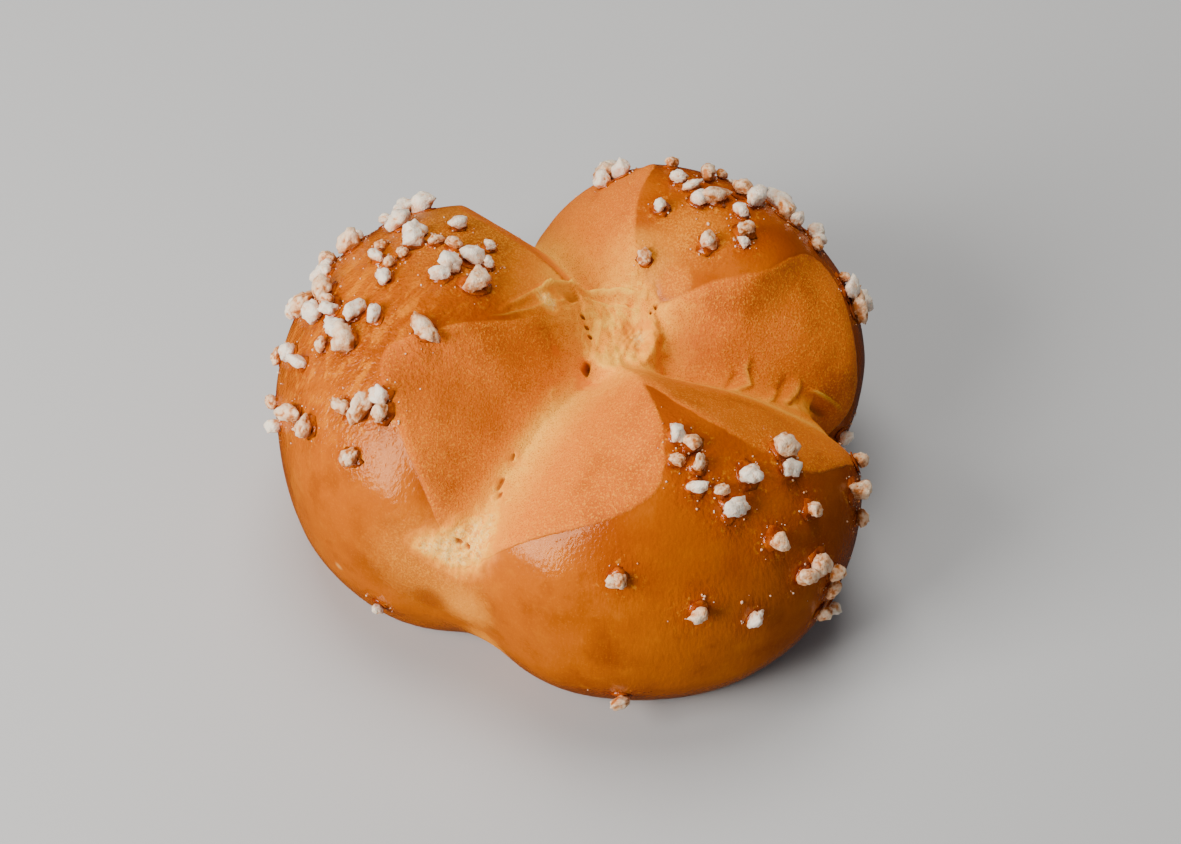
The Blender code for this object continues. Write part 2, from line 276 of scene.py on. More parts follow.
# The thin web of dough that is stretched across the meeting of the cuts, and its strands
WEB = ((-0.0120, -0.0013, 0.0554), (-0.0086, 0.0023, 0.0536), (-0.0051, 0.0070, 0.0512),
       (-0.0023, 0.0097, 0.0495), (0.0006, 0.0113, 0.0480), (0.0030, 0.0125, 0.0465))
BRIDGE = ((-0.0045, 0.0082), (-0.0005, 0.0105), (0.0030, 0.0118), (0.0065, 0.0119),
          (0.0100, 0.0110), (0.0145, 0.0098))
STRAND = ((0.0020, 0.0098), (0.0045, 0.0102), (0.0070, 0.0100), (0.0100, 0.0090), (0.0130, 0.0078))
UNDER_BRIDGE = ((0.0015, 0.0104), (0.0040, 0.0110), (0.0070, 0.0110), (0.0100, 0.0100), (0.0130, 0.0088))
SECOND_WEB = ((-0.0155, -0.0042), (-0.0110, -0.0022), (-0.0068, 0.0010), (-0.0020, 0.0062),
              (0.0020, 0.0095))

# Creases, a fold, holes, a tuft and a curl of dough round the heart
LEFT_CREASE = ((0.0018, 0.0085), (0.0030, 0.0051), (0.0043, 0.0025), (0.0040, -0.0012))
RIGHT_FOLD = ((0.0136, 0.0118), (0.0146, 0.0080), (0.0154, 0.0040), (0.0150, -0.0005), (0.0140, -0.0045))
BESIDE_RIGHT_FOLD = ((0.0156, 0.0110), (0.0166, 0.0078), (0.0172, 0.0030), (0.0168, -0.0020))
PIT = ((-0.0012, 0.0085), (0.0016, 0.0108))
GAP = ((0.0035, -0.0014), (0.0024, -0.0038))
CREASE_HOLES = (((0.0021, 0.0067), (0.0026, 0.0060)), ((0.0029, 0.0052), (0.0032, 0.0045)),
                ((0.0035, 0.0036), (0.0038, 0.0030)), ((0.0158, 0.0084), (0.0162, 0.0079)),
                ((0.0149, 0.0076), (0.0152, 0.0070)))
TUFT = ((-0.0046, 0.0062), (-0.0036, 0.0053), (-0.0028, 0.0050))
CURL = ((-0.0012, -0.0094), (-0.0024, -0.0098), (-0.0030, -0.0110), (-0.0022, -0.0120))

# Ribs and a loose flap of skin in the right valley, and cracks in the front left one
RIBS = (
    ((0.0290, -0.0075), (0.0302, -0.0049), (0.0326, -0.0035), (0.0318, -0.0008), (0.0330, 0.0012)),
    ((0.0385, -0.0062), (0.0398, -0.0045), (0.0412, -0.0022), (0.0424, 0.0001)),
    ((0.0356, -0.0072), (0.0372, -0.0050), (0.0382, -0.0030)))
BESIDE_RIBS = (
    ((0.0288, -0.0050), (0.0299, -0.0030), (0.0308, -0.0012)),
    ((0.0370, -0.0060), (0.0388, -0.0030), (0.0403, 0.0000)))
FLAP = ((0.0440, -0.0008, 0.0330), (0.0453, -0.0004, 0.0319), (0.0475, 0.0001, 0.0295),
        (0.0494, 0.0006, 0.0270), (0.0506, 0.0010, 0.0245))
UNDER_FLAP = ((0.0446, -0.0020, 0.0305), (0.0466, -0.0014, 0.0278), (0.0484, -0.0008, 0.0250))
CRACKS = (
    ((-0.0113, -0.0275), (-0.0120, -0.0290), (-0.0126, -0.0302)),
    ((-0.0118, -0.0304), (-0.0122, -0.0316)), ((-0.0096, -0.0232), (-0.0101, -0.0246)),
    ((-0.0200, -0.0376), (-0.0186, -0.0380)), ((-0.0181, -0.0383), (-0.0172, -0.0390)))

# Each fold, crease or crack: its line, its height, its half-width and how much painted light or shade it
# gets
FOLDS = (
    (WEB, 0.0012, 0.0005, 0.7), (BRIDGE, 0.0017, 0.0008, 0.3), (STRAND, 0.0006, 0.0004, 0.9),
    (UNDER_BRIDGE, -0.0005, 0.0004, 0.8), (SECOND_WEB, 0.0006, 0.0004, 1.1),
    (LEFT_CREASE, -0.0006, 0.0006, 0.4), (RIGHT_FOLD, 0.0006, 0.0012, 0.3),
    (BESIDE_RIGHT_FOLD, -0.0004, 0.0009, 0.4), (PIT, -0.0016, 0.0020, 0.45),
    (GAP, -0.0018, 0.0007, 0.7), (FLAP, 0.0009, 0.00045, 0.9), (UNDER_FLAP, -0.0012, 0.0009, 0.6),
    (CURL, 0.0004, 0.0004, 1.0), (TUFT, 0.0007, 0.0009, 0.4),
    *((rib, 0.0008, 0.0007, 0.5) for rib in RIBS),
    *((groove, -0.0005, 0.0007, 0.7) for groove in BESIDE_RIBS),
    *((crack, -0.0012, 0.0003, 1.3) for crack in CRACKS + CREASE_HOLES))
FOLDS_ABOVE = 0.018
FOLDS_FADE_OVER = 0.002
LINE_TAPER = 4.0

# Where the skin needs more points for its detail: the middle, how wide in radians, how strongly.
# The top has more of them than the base.
FINER_PLACES = (
    ((0.0060, 0.0100, 0.0450), 0.30, 0.35), ((0.0440, -0.0030, 0.0300), 0.22, 0.50),
    ((-0.0180, -0.0375, 0.0340), 0.25, 0.40))
TOP_FAVOURED = 0.6

# Places where the crumb is torn open: the middle, the reach and how far
TORN_PLACES = (
    ((-0.0176, -0.0372, 0.0340), 0.0044, 1.1), ((-0.0215, -0.0379, 0.0334), 0.0034, 0.7),
    ((-0.0262, -0.0372, 0.0338), 0.0022, 0.7), ((-0.0140, -0.0372, 0.0354), 0.0034, 0.8),
    ((-0.0118, -0.0340, 0.0372), 0.0030, 0.7), ((-0.0124, -0.0297, 0.0393), 0.0020, 0.7),
    ((-0.0098, -0.0238, 0.0417), 0.0016, 0.6), ((0.0035, -0.0060, 0.0410), 0.0020, 0.7),
    ((0.0128, 0.0030, 0.0435), 0.0026, 1.0), ((-0.0037, 0.0055, 0.0502), 0.0021, 1.5),
    ((0.0300, -0.0060, 0.0380), 0.0016, 0.7), ((0.0403, -0.0058, 0.0345), 0.0024, 0.5),
    ((0.0435, -0.0040, 0.0322), 0.0022, 0.5), ((0.0455, -0.0028, 0.0295), 0.0020, 0.5))
TORN_FADING = 0.8
MOST_TORN = 1.2


def along_line(points, line):
    """How far each point lies from a line through a few points, tapered at its ends."""
    nearest = np.full(len(points), 1.0)
    run = sum(math.dist(a, b) for a, b in zip(line, line[1:]))
    passed = 0.0
    taper = np.zeros(len(points))
    for a, b in zip(line, line[1:]):
        step = math.dist(a, b)
        way = (np.array(b) - a) / step
        off = points[:, :len(a)] - a
        along = np.clip(off @ way, 0.0, step)
        gap = np.linalg.norm(off - along[:, None] * way, axis=1)
        share = (passed + along) / run
        start = np.clip(LINE_TAPER * share, 0.0, 1.0)
        end = np.clip(LINE_TAPER - LINE_TAPER * share, 0.0, 1.0)
        taper = np.where(gap < nearest, start * end, taper)
        nearest = np.minimum(nearest, gap)
        passed += step
    return nearest, taper


def folded(points):
    """How far the folds raise or lower the skin, and how far they lighten it where raised, with pale
    dough and painted light, and darken it with painted shade where sunk.
    """
    high = np.clip((points[:, 2] - FOLDS_ABOVE) / FOLDS_FADE_OVER, 0.0, 1.0)
    relief = np.zeros(len(points))
    fold_shading = np.zeros(len(points))
    for line, rise, half_width, shading_share in FOLDS:
        gap, taper = along_line(points, line)
        fold = rise * np.exp(-(gap / half_width) ** 2) * np.sqrt(taper) * high
        relief += fold
        fold_shading += fold * shading_share
    return relief, fold_shading


def cut_marks(points):
    """Mm inside the nearest snipped face, mm off a valley, off the heart, and the place by the valley."""
    inside = np.full(len(points), LEAST_INSIDE_MM)
    off_valley = np.full(len(points), MOST_OFF_VALLEY_MM)
    valley_place = np.zeros((len(points), 2))
    for cut, (fade_plus, fade_minus) in zip(CUTS, FADING):
        along, across, t, width = place_in_cut(points, cut)
        beyond = np.minimum(along, 0.0) + np.maximum(along - cut["length"], 0.0)
        off = np.hypot(across, beyond)
        narrowed = np.sqrt(np.clip((points[:, 2] - LOWEST_FACE) / FACE_END, 0.0, 1.0))
        face = np.where(t < 1.0, width * narrowed - np.hypot(across, np.minimum(along, 0.0)), -off)
        face = np.minimum(face, (points[:, 2] - LOWEST_FACE) * FOOT_STEEPNESS)
        inside = np.maximum(inside, face * 1000.0)
        off = off * np.where(across > 0.0, fade_plus, fade_minus)
        off = off + np.maximum(PALE_VALLEY_ABOVE - points[:, 2], 0.0)
        nearer = off * 1000.0 < off_valley
        off_valley = np.where(nearer, off * 1000.0, off_valley)
        valley_place[nearer] = np.stack((along, across), axis=-1)[nearer]
    off_heart = distance_off(points, HEART_MIDDLE, HEART_EDGE)
    off_heart = np.where(points[:, 2] > HEART_ABOVE, off_heart, NO_HEART)
    inside = np.maximum(inside, (1.0 - off_heart) * HEART_HALF_WIDTH_MM)
    return inside, off_valley, off_heart, valley_place


def torn_open(points):
    """From 0 on whole dough to 1 or a little more in the middle of a torn place."""
    torn = np.zeros(len(points))
    for middle, reach, amount in TORN_PLACES:
        off = np.linalg.norm(points - middle, axis=1) / reach
        torn += amount * np.exp(-TORN_FADING * off ** 2)
    return np.clip(torn, 0.0, MOST_TORN)


def fine_relief(points):
    """How far folds, small lumps and torn threads raise the skin."""
    inside, off_valley, off_heart, valley_place = cut_marks(points)
    on_face = np.clip(inside / FACE_EDGE_MM + 0.5, 0.0, 1.0)
    relief = SKIN_LUMPS * waves(points, SKIN_WAVES) * (1.0 - on_face)
    relief += FACE_LUMPS * waves(points, FACE_WAVES, 5.0) * on_face
    threads = np.concatenate((valley_place, points[:, 2:]), axis=1) * THREAD_WAVES
    threads = waves(threads, 1.0, 9.0) + TORN_LUMPS_SHARE * waves(points, TORN_WAVES, 3.0)
    near = np.clip(1.0 - off_valley / (THREAD_BAND * 1000.0), 0.0, 1.0) * on_face * THREADS_BY_VALLEY
    near = np.maximum(near, torn_open(points))
    relief += THREAD_HEIGHT * near * threads
    strings = waves(points * STRINGS_RUN, STRING_WAVES, 4.0)
    strings += FINE_STRINGS_SHARE * waves(points, FINE_STRING_WAVES, 6.0)
    relief += HEART_STRINGS * np.clip(STRINGS_FROM - off_heart, 0.0, STRINGS_MOST) * strings
    return relief + folded(points)[0]


def store(mesh, name, values):
    """Keeps one number for each vertex where the finish can read it."""
    mesh.attributes.new(name, "FLOAT", "POINT").data.foreach_set("value", values.astype(np.float32))


def drawn_to(directions, place, width, pull):
    """Directions moved towards one place, so that the skin has more points there."""
    way = np.array(place) - CORE
    way /= np.linalg.norm(way)
    near = np.exp((directions @ way - 1.0) / width ** 2)[:, None]
    moved = directions + pull * near * (way - directions)
    return moved / np.linalg.norm(moved, axis=1)[:, None]


bm = bmesh.new()
bmesh.ops.create_icosphere(bm, subdivisions=5, radius=1.0)
bmesh.ops.subdivide_edges(bm, edges=bm.edges[:], cuts=5, use_grid_fill=True)
bmesh.ops.triangulate(bm, faces=bm.faces[:])
directions = np.array([v.co.normalized()[:] for v in bm.verts])
directions[:, 2] += TOP_FAVOURED
directions /= np.linalg.norm(directions, axis=1)[:, None]
for place, width, pull in FINER_PLACES:
    directions = drawn_to(directions, place, width, pull)
smooth_skin = dough_surface(directions)
skin = dough_surface(directions, fine_relief(smooth_skin))
for vert, point in zip(bm.verts, skin):
    vert.co = point
dough_mesh = bpy.data.meshes.new("dough")
bm.to_mesh(dough_mesh)
bm.free()
dough_mesh.shade_smooth()
dough = bpy.data.objects.new("dough", dough_mesh)
bpy.context.scene.collection.objects.link(dough)
inside, off_valley, off_heart, _ = cut_marks(smooth_skin)
store(dough_mesh, "inside_face", inside)
store(dough_mesh, "off_valley", off_valley)
store(dough_mesh, "off_heart", off_heart)
store(dough_mesh, "torn", torn_open(smooth_skin))
# The folds: paler where raised, with pale dough and painted light, and darker with painted shade in
# creases, cracks, holes and under flaps
store(dough_mesh, "fold", folded(smooth_skin)[1] * 1000.0)


def add(tree, kind, inputs=None, **settings):
    """Adds a node with its settings, and sets or links its inputs."""
    node = tree.nodes.new(kind)
    for name, value in settings.items():
        setattr(node, name, value)
    for socket, value in (inputs or {}).items():
        if isinstance(value, bpy.types.NodeSocket):
            tree.links.new(value, node.inputs[socket])
        else:
            node.inputs[socket].default_value = value
    return node


def kept(tree, name):
    """A number kept on the vertices."""
    return add(tree, "ShaderNodeAttribute", attribute_name=name).outputs["Fac"]


def mottle(tree, where, per_metre, detail=3.0, roughness=0.55, stretch=(1.0, 1.0, 1.0), shift=0.0):
    """Cloudy noise between 0 and 1, with as many clouds a metre as asked."""
    scale = [per_metre * s for s in stretch]
    move = add(tree, "ShaderNodeMapping", {"Vector": where, "Scale": scale, "Location": (shift,) * 3})
    kind = {"Vector": move.outputs[0], "Scale": 1.0, "Detail": detail, "Roughness": roughness}
    return add(tree, "ShaderNodeTexNoise", kind).outputs["Fac"]


def between(tree, value, low, high):
    """Rises smoothly from 0 at low to 1 at high."""
    limits = {"Value": value, "From Min": low, "From Max": high}
    return add(tree, "ShaderNodeMapRange", limits, interpolation_type="SMOOTHSTEP").outputs["Result"]


def maths(tree, operation, a, b):
    """One sum on two numbers."""
    return add(tree, "ShaderNodeMath", {0: a, 1: b}, operation=operation).outputs[0]


def times(tree, a, b):
    """One number times another."""
    return maths(tree, "MULTIPLY", a, b)


def with_some(tree, value, pattern, amount):
    """A number with some of a pattern added to it."""
    return maths(tree, "ADD", value, times(tree, pattern, amount))


def tint(tree, amount, under, over):
    """Lays one colour over another by an amount from 0 to 1."""
    mix = add(tree, "ShaderNodeMix", {0: amount}, data_type="RGBA", clamp_factor=True)
    for socket, colour in ((6, under), (7, over)):
        if isinstance(colour, bpy.types.NodeSocket):
            tree.links.new(colour, mix.inputs[socket])
        else:
            mix.inputs[socket].default_value = (*colour, 1.0)
    return mix.outputs[2]


def coated(tree, colour, coats):
    """Lays coats on a colour: what each follows, its start, where it is full, its amount and colour."""
    for follows, start, full, amount, coat in coats:
        colour = tint(tree, times(tree, between(tree, follows, start, full), amount), colour, coat)
    return colour


# Where the colour of a snipped face starts and is full, in mm inside its edge
FACE_EDGE = (-0.35, 0.45)

# How far the edges of the coats wander: mm off valleys and sugar, half-widths of the heart, metres
# on the crests and at the right, and shares of a torn place and of a spot
VALLEY_WOBBLE = 5.0
SUGAR_WOBBLE = 2.4
HEART_WOBBLE = 1.7
CREST_WOBBLE = 0.06
RIGHT_WOBBLE = 0.004
TORN_WOBBLE = 1.8
SPOT_WOBBLE = 0.4


def small_bumps(tree, height, metres, **below):
    """Fine relief of a finish, as high as asked, on top of what is below."""
    made = {"Height": height, "Distance": metres, "Strength": 1.0, **below}
    return add(tree, "ShaderNodeBump", made).outputs[0]


def new_finish(name):
    """A finish to build up: the material, its nodes, its shader and the places on the piece."""
    material = bpy.data.materials.new(name)
    material.use_nodes = True
    tree = material.node_tree
    where = add(tree, "ShaderNodeTexCoord").outputs["Object"]
    return material, tree, tree.nodes["Principled BSDF"], where


def near_place(tree, where, wobble, middle, outer, inner):
    """Rises from 0 at the outer reach of a place to 1 at its inner reach, with an uneven edge."""
    far = add(tree, "ShaderNodeVectorMath", {0: where, 1: middle}, operation="DISTANCE").outputs["Value"]
    return between(tree, with_some(tree, far, wobble, outer * SPOT_WOBBLE), outer, inner)


# The egg-washed skin, from the darkest, a painted shade for the right side, to the palest, and the marks
# on it
PAINTED_SHADE_WASH = (0.18, 0.027, 0.0003)
EGG_WASH_BROWN = (0.28, 0.050, 0.0002)
EGG_WASH_RED = (0.32, 0.050, 0.0002)
EGG_WASH_TAN = (0.43, 0.118, 0.006)
EGG_WASH_ORANGE = (0.47, 0.106, 0.0002)
EGG_WASH_LIGHT = (0.60, 0.165, 0.0004)
EGG_WASH_THIN = (0.85, 0.34, 0.025)
SYRUP_BROWN = (0.28, 0.036, 0.001)
GLAZE_GOLD = (0.60, 0.150, 0.0002)
STREAK_GOLD = (0.70, 0.215, 0.002)
SPOT_ORANGE = (0.72, 0.150, 0.001)
SEAM_PEACH = (0.78, 0.26, 0.012)
BLISTER_PALE = (0.80, 0.42, 0.12)

# The snipped faces, paler towards the valleys and the heart, the torn crumb, and painted shade for
# creases and hollows
PAINTED_HOLLOW_SHADE = (0.38, 0.095, 0.006)
SNIPPED_BROWN = (0.44, 0.084, 0.002)
SNIPPED_TAN = (0.66, 0.150, 0.004)
SNIPPED_ORANGE = (0.80, 0.205, 0.004)
SNIPPED_PALE = (0.95, 0.38, 0.022)
VALLEY_CREAM = (0.98, 0.47, 0.045)
HEART_GOLD = (0.92, 0.31, 0.010)
HEART_CREAM = (1.00, 0.57, 0.060)
TORN_CREAM = (0.98, 0.66, 0.24)

# Where the wash is thin: the middle, the outer and inner reach, and the colour there
THIN_WASH = (
    ((-0.016, 0.021, 0.0510), 0.026, 0.006, EGG_WASH_TAN),
    ((0.0135, 0.015, 0.0505), 0.0085, 0.002, EGG_WASH_THIN),
    ((-0.003, 0.0080, 0.0500), 0.016, 0.003, SNIPPED_ORANGE),
    ((-0.001, 0.0115, 0.0485), 0.008, 0.001, EGG_WASH_THIN),
    ((0.022, 0.019, 0.0555), 0.011, 0.002, EGG_WASH_LIGHT),
    ((-0.026, -0.041, 0.0290), 0.016, 0.003, EGG_WASH_LIGHT),
    ((-0.0174, -0.0399, 0.0220), 0.0085, 0.0015, SEAM_PEACH),
    ((-0.0140, -0.0406, 0.0110), 0.0065, 0.0010, SEAM_PEACH),
    ((0.0192, 0.0108, 0.0497), 0.0042, 0.0020, GLAZE_GOLD))
THIN_AMOUNT = 0.9

# Spots that took more or less colour in the oven, and one of painted shade: the middle, the reaches, the
# colour and how much
SPOTS = (
    ((-0.0250, -0.0389, 0.0195), 0.0050, 0.0012, EGG_WASH_BROWN, 0.7),
    ((-0.0425, -0.0289, 0.0156), 0.0017, 0.0004, BLISTER_PALE, 0.9),
    ((-0.0022, -0.0037, 0.0469), 0.0016, 0.0004, SPOT_ORANGE, 0.8),
    ((-0.0154, -0.0184, 0.0476), 0.0075, 0.0010, SNIPPED_BROWN, 0.45),
    ((-0.0100, -0.0080, 0.0520), 0.0050, 0.0010, SNIPPED_BROWN, 0.35),
    # Painted shade on the back lobe's right face by the start of the right valley
    ((0.0225, 0.0015, 0.0430), 0.0065, 0.0010, SNIPPED_BROWN, 0.5),
    ((-0.0250, -0.0141, 0.0526), 0.0120, 0.0020, SNIPPED_BROWN, 0.55))

# A darker patch on the crest of the front lobe, and the left crest, which the rising dough pulled into
# streaks that run towards an azimuth: each its middle and its reaches
DARKER_FRONT_CREST = ((0.0225, -0.0450, 0.0440), 0.017, 0.004)
DARKER_FRONT_CREST_AMOUNT = 0.5
LEFT_CREST = ((-0.0415, -0.0020, 0.0505), 0.030, 0.008)
STREAKS_AZIMUTH = 50.0

# Roughness by the sugar, on the skin and on a face, how matte thin wash is, the height of wrinkles
# and of grain, and how much more the skin wrinkles near the sugar and on the left crest
STICKY_ROUGHNESS = 0.12
SKIN_ROUGHNESS = 0.17
FACE_ROUGHNESS = 0.68
THIN_MATTE = 0.7
WRINKLE_BUMPS = 0.00009
MORE_NEAR_SUGAR = 1.3
MORE_ON_LEFT_CREST = 3.5
GRAIN_BUMPS = 0.00012

dough_finish, tree, shader, where = new_finish("baked dough")
right, _, height = add(tree, "ShaderNodeSeparateXYZ", {"Vector": where}).outputs

# The ragged edges that the coats follow, and cloudy patterns from broad to fine
wobble = maths(tree, "SUBTRACT", mottle(tree, where, 600.0, 4.0), 0.5)
on_face = between(tree, with_some(tree, kept(tree, "inside_face"), wobble, 1.0), *FACE_EDGE)
valley = with_some(tree, kept(tree, "off_valley"), wobble, VALLEY_WOBBLE)
heart = with_some(tree, kept(tree, "off_heart"), wobble, HEART_WOBBLE)
sugar = with_some(tree, kept(tree, "off_sugar"), wobble, SUGAR_WOBBLE)
torn = times(tree, kept(tree, "torn"), with_some(tree, 1.0, wobble, TORN_WOBBLE))
# How much painted light a raised fold takes, and how much painted shade a sunk one takes
fold_light_and_shade = kept(tree, "fold")
big = mottle(tree, where, 60.0, 2.0)
patches = mottle(tree, where, 110.0, 3.0, 0.6, shift=7.0)
middling = mottle(tree, where, 150.0, 5.0, 0.6, shift=4.0)
fine = mottle(tree, where, 450.0, 4.0, 0.6)
pores = mottle(tree, where, 2300.0, 2.0, 0.6, shift=6.0)
coarse_grain = mottle(tree, where, 2500.0, 2.0, 0.6, shift=3.0)
grain = mottle(tree, where, 4200.0, 1.0, 0.6)

# The wash: mottled all over, red on the crests, streaked on the left one, and painted shade at the right
crest = with_some(tree, height, maths(tree, "SUBTRACT", big, 0.5), CREST_WOBBLE)
left_crest = near_place(tree, where, wobble, *LEFT_CREST)
reddened = maths(tree, "SUBTRACT", 0.7, times(tree, left_crest, 0.4))
streaks_run = {"Vector": where, "Rotation": (0.0, 0.0, math.radians(STREAKS_AZIMUTH))}
pulled = add(tree, "ShaderNodeMapping", streaks_run, vector_type="TEXTURE").outputs[0]
pulled = mottle(tree, pulled, 430.0, 4.0, 0.7, stretch=(0.35, 1.0, 0.8), shift=13.0)
wash = coated(tree, EGG_WASH_ORANGE, (
    (big, 0.42, 0.80, 1.0, EGG_WASH_BROWN),
    (middling, 0.50, 0.72, 0.55, EGG_WASH_BROWN),
    (middling, 0.46, 0.30, 0.45, EGG_WASH_LIGHT),
    (pores, 0.54, 0.70, 0.35, EGG_WASH_LIGHT),
    (fine, 0.50, 0.80, 0.25, EGG_WASH_LIGHT),
    (crest, 0.036, 0.060, reddened, EGG_WASH_RED),
    (pulled, 0.47, 0.62, times(tree, left_crest, 0.8), STREAK_GOLD),
    (pulled, 0.43, 0.33, times(tree, left_crest, 0.5), EGG_WASH_BROWN),
    # Painted shade: the wash darkens towards the right of the bun, the side turned from the main soft box
    (with_some(tree, right, wobble, RIGHT_WOBBLE), 0.028, 0.056, 0.8, PAINTED_SHADE_WASH)))
darker_front_crest = near_place(tree, where, wobble, *DARKER_FRONT_CREST)
wash = tint(tree, times(tree, darker_front_crest, DARKER_FRONT_CREST_AMOUNT), wash, EGG_WASH_BROWN)
thin = 0.0
for middle, outer, inner, thinned in THIN_WASH:
    here = near_place(tree, where, wobble, middle, outer, inner)
    wash = tint(tree, times(tree, here, THIN_AMOUNT), wash, thinned)
    thin = maths(tree, "MAXIMUM", thin, here)

# Round the sugar the wash took more colour, with some syrup, and it is flecked
syrupy = between(tree, mottle(tree, where, 170.0, 2.0, shift=2.0), 0.42, 0.60)
flecked = between(tree, mottle(tree, where, 800.0, 3.0, 0.7, shift=5.0), 0.56, 0.68)
wash = coated(tree, wash, (
    (sugar, 4.5, 0.3, 0.45, EGG_WASH_RED),
    (sugar, 0.5, 0.1, syrupy, SYRUP_BROWN),
    (sugar, 4.0, 1.0, times(tree, flecked, 0.4), EGG_WASH_THIN),
    (coarse_grain, 0.46, 0.62, times(tree, thin, 0.4), SNIPPED_PALE)))

# The snipped faces: paler towards the valleys and the heart, which is gold and cream in streaks
warm = mottle(tree, where, 230.0, 3.0, 0.6, stretch=(1.0, 0.6, 1.0), shift=11.0)
warm = times(tree, between(tree, warm, 0.48, 0.66), between(tree, heart, 1.5, 0.8))
streaks = mottle(tree, where, 560.0, 4.0, 0.65, stretch=(1.0, 0.35, 1.0), shift=1.0)
cream = times(tree, between(tree, heart, 1.35, 0.35), between(tree, streaks, 0.40, 0.57))
cream = times(tree, cream, maths(tree, "SUBTRACT", 1.0, times(tree, warm, 0.8)))
snipped = coated(tree, SNIPPED_TAN, (
    (patches, 0.42, 0.75, 1.0, SNIPPED_BROWN),
    (valley, 20.0, 7.0, 0.9, SNIPPED_ORANGE),
    (valley, 9.5, 2.0, 0.9, SNIPPED_PALE),
    (valley, 4.2, 0.3, 0.85, VALLEY_CREAM),
    (heart, 2.2, 1.0, 0.7, SNIPPED_PALE)))
snipped = tint(tree, times(tree, warm, 0.75), snipped, HEART_GOLD)
snipped = tint(tree, cream, snipped, HEART_CREAM)
snipped = coated(tree, snipped, (
    (grain, 0.50, 0.32, maths(tree, "SUBTRACT", 0.6, cream), SNIPPED_BROWN),
    (grain, 0.52, 0.36, times(tree, cream, 0.55), SNIPPED_ORANGE),
    (coarse_grain, 0.50, 0.66, 0.45, SNIPPED_PALE),
    # Raised folds paler, with pale dough and painted light; sunk ones darker with painted shade
    (fold_light_and_shade, 0.1, 0.9, 0.8, HEART_CREAM),
    (fold_light_and_shade, -0.2, -1.0, 0.85, PAINTED_HOLLOW_SHADE)))

# Over both: torn crumb with pits, torn bits along the valleys, folds paler where raised, with pale dough
# and painted light, and darker with painted shade where sunk, and spots of the oven and one of painted
# shade
crumb = between(tree, coarse_grain, 0.36, 0.62)
pits = mottle(tree, where, 1100.0, 3.0, 0.7, shift=9.0)
pitted = between(tree, torn, 0.25, 0.7)
torn_bits = mottle(tree, where, 620.0, 4.0, 0.7, stretch=(1.0, 1.0, 0.5), shift=8.0)
by_valley = between(tree, valley, 5.0, 1.5)
colour = coated(tree, tint(tree, on_face, wash, snipped), (
    (torn, 0.0, 0.55, 0.8, SNIPPED_ORANGE),
    (torn, 0.15, 0.75, 0.85, SNIPPED_PALE),
    (torn, 0.4, 1.1, 0.9, VALLEY_CREAM),
    (torn, 0.6, 1.25, times(tree, crumb, 0.75), TORN_CREAM),
    (pits, 0.47, 0.39, times(tree, pitted, 0.6), SNIPPED_ORANGE),
    (torn_bits, 0.55, 0.64, times(tree, by_valley, 0.6), VALLEY_CREAM),
    # Raised folds paler, with pale dough and painted light; sunk ones darker with painted shade
    (fold_light_and_shade, 0.3, 1.2, 0.8, HEART_CREAM),
    (fold_light_and_shade, -0.15, -1.0, 0.9, PAINTED_HOLLOW_SHADE)))
# Each spot's colour is what the oven gave, except the painted shade by the right valley
for middle, outer, inner, baked, amount in SPOTS:
    here = near_place(tree, where, wobble, middle, outer, inner)
    colour = tint(tree, times(tree, here, amount), colour, baked)
tree.links.new(colour, shader.inputs["Base Color"])

# Glossy on the wash, most of all by the sugar, and matte on faces, torn crumb and thin wash
gloss = {"Value": sugar, "From Min": 0.0, "From Max": 2.0,
         "To Min": STICKY_ROUGHNESS, "To Max": SKIN_ROUGHNESS}
gloss = add(tree, "ShaderNodeMapRange", gloss).outputs["Result"]
matte = maths(tree, "MAXIMUM", on_face, between(tree, torn, 0.0, 0.5))
matte = maths(tree, "MAXIMUM", matte, times(tree, thin, THIN_MATTE))
dull = add(tree, "ShaderNodeMix", {0: matte, 2: gloss, 3: FACE_ROUGHNESS})
tree.links.new(dull.outputs[0], shader.inputs["Roughness"])
shader.inputs["Specular IOR Level"].default_value = 0.36
shader.inputs["Specular Tint"].default_value = (1.0, 0.66, 0.42, 1.0)

# Fine wrinkles on the skin, deeper near the sugar and on the left crest, and grain on the faces
crinkled = with_some(tree, 1.0, between(tree, sugar, 6.0, 1.0), MORE_NEAR_SUGAR)
crinkled = with_some(tree, crinkled, left_crest, MORE_ON_LEFT_CREST)
wrinkles = mottle(tree, where, 1400.0, 2.0, 0.5, stretch=(1.0, 1.0, 0.35))
wrinkles = small_bumps(tree, times(tree, wrinkles, crinkled), WRINKLE_BUMPS)
grains = times(tree, maths(tree, "ADD", grain, coarse_grain), maths(tree, "MAXIMUM", on_face, thin))
tree.links.new(small_bumps(tree, grains, GRAIN_BUMPS, Normal=wrinkles), shader.inputs["Normal"])
dough_mesh.materials.append(dough_finish)
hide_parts("brioche")
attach(dough, "root")


# Pearl sugar. Lumps of pressed sugar, 2 to 4 mm, are sprinkled on the egg wash before baking. Most
# stay white, some are toasted tan, and all sit a little way into the skin. They lie where the solid
# has them, drawn from the same patches.

SUGAR_SEED = 11
SPIN_SEED = 12
TOAST_SEED = 5
GRAIN_LENGTH = 0.0042
GRAIN_SIZES = (0.75, 1.3)
GRAIN_STRETCH = (0.85, 1.55)
GRAIN_WIDTHS = (0.8, 1.1)
GRAIN_HEIGHTS = (0.75, 1.0)
GRAIN_TIP = 0.4
GRAIN_LIFT = 0.28
GRAIN_FOOT = 0.40

# The gap between grains is in degrees seen from the core
GRAIN_GAP = 2.9
TRIES_PER_GRAIN = 30

